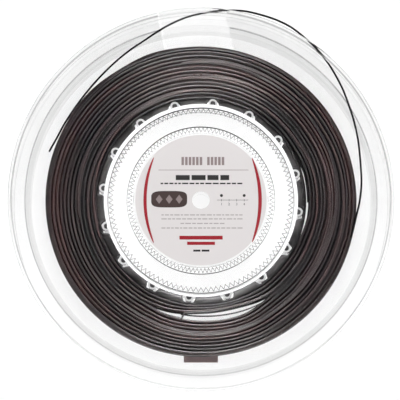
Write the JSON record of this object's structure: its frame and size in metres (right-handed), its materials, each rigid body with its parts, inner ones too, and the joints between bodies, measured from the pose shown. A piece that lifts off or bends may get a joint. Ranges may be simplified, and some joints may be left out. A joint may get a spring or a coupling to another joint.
{
  "type": "racket string reel",
  "caption": "Clear snap-together spool with a ribbed hub and dished flanges, wound with racket string whose loose last lap lies under a strip of clear tape.",
  "frame": {"origin": "on the spool's axis, at the plane of the rear rim that the reel lies on", "axes": "+Z along the spool's axis from the rear flange to the labelled front, +Y towards the top of the label, +X to the label's right"},
  "size_m": [0.27, 0.2715, 0.0362],
  "materials": {
    "clear_plastic": "clear gloss",
    "pleated_plastic": "clear gloss, fluted",
    "label_paper": "satin coated paper",
    "string": "smooth coated monofilament",
    "clear_tape": "clear gloss film",
    "tag_film": "satin film"
  },
  "bodies": {
    "root": {"front_flange": "clear_plastic", "rear_flange": "clear_plastic", "hub_drum": "clear_plastic", "front_hub_cap": "clear_plastic", "rear_hub_cap": "clear_plastic", "outer_pleated_ring": "pleated_plastic", "inner_pleated_ring": "pleated_plastic", "face_label": "label_paper", "string_core": "string", "string_outer_turns": "string", "string_tail": "string", "retaining_tape": "clear_tape", "rear_tag": "tag_film"}
  },
  "joints": []
}
